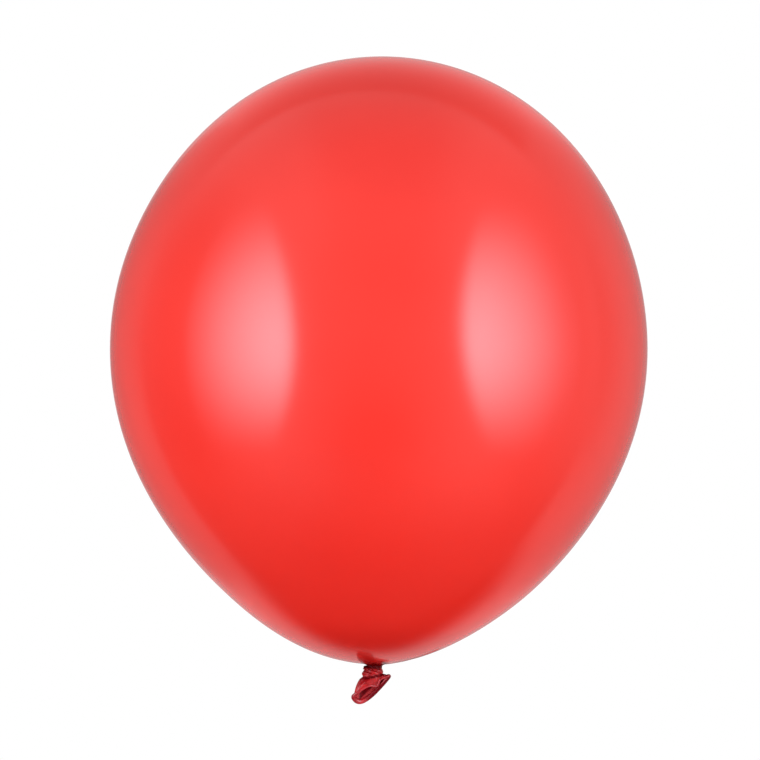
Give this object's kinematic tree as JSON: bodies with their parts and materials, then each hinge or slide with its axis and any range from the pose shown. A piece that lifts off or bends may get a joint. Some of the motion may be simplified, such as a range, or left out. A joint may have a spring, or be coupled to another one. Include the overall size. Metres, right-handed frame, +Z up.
{
  "type": "latex balloon",
  "caption": "Round blown-up latex party balloon with a gathered neck, an overhand knot and a loose flattened tail that ends in a rolled mouth.",
  "frame": {"origin": "on the neck's axis at its waist, just under the blown-up film, where a ribbon is tied", "axes": "+Z up the neck to the crown; +X towards the higher end of the mouth; -Y is the side the mouth opens to"},
  "size_m": [0.3004, 0.3004, 0.3625],
  "materials": {
    "latex_film": "gloss",
    "latex_slack": "satin",
    "latex_bead": "satin"
  },
  "bodies": {
    "envelope": {"envelope": "latex_film", "neck_gather": "latex_slack"},
    "neck": {"neck_stem": "latex_slack"},
    "knot": {"knot_loop": "latex_slack", "knot_core": "latex_slack"},
    "tail": {"tail_sleeve": "latex_slack", "rolled_lip": "latex_bead"}
  },
  "joints": [
    {"name": "neck_twist", "type": "hinge", "parent": "envelope", "child": "neck", "pos_m": [0, 0, -0.0007], "axis": [0, 0, 1], "range_deg": [-90, 90], "stiffness_Nm_per_rad": 0.0002},
    {"name": "knot_tilt", "type": "hinge", "parent": "neck", "child": "knot", "pos_m": [0, 0, -0.0023], "axis": [1, 0, 0], "range_deg": [-15, 15], "stiffness_Nm_per_rad": 0.0004},
    {"name": "tail_swing", "type": "hinge", "parent": "knot", "child": "tail", "pos_m": [-0.00017, 0, -0.00754], "axis": [0.9816, 0, 0.1908], "range_deg": [-15, 60], "stiffness_Nm_per_rad": 0.0002}
  ]
}
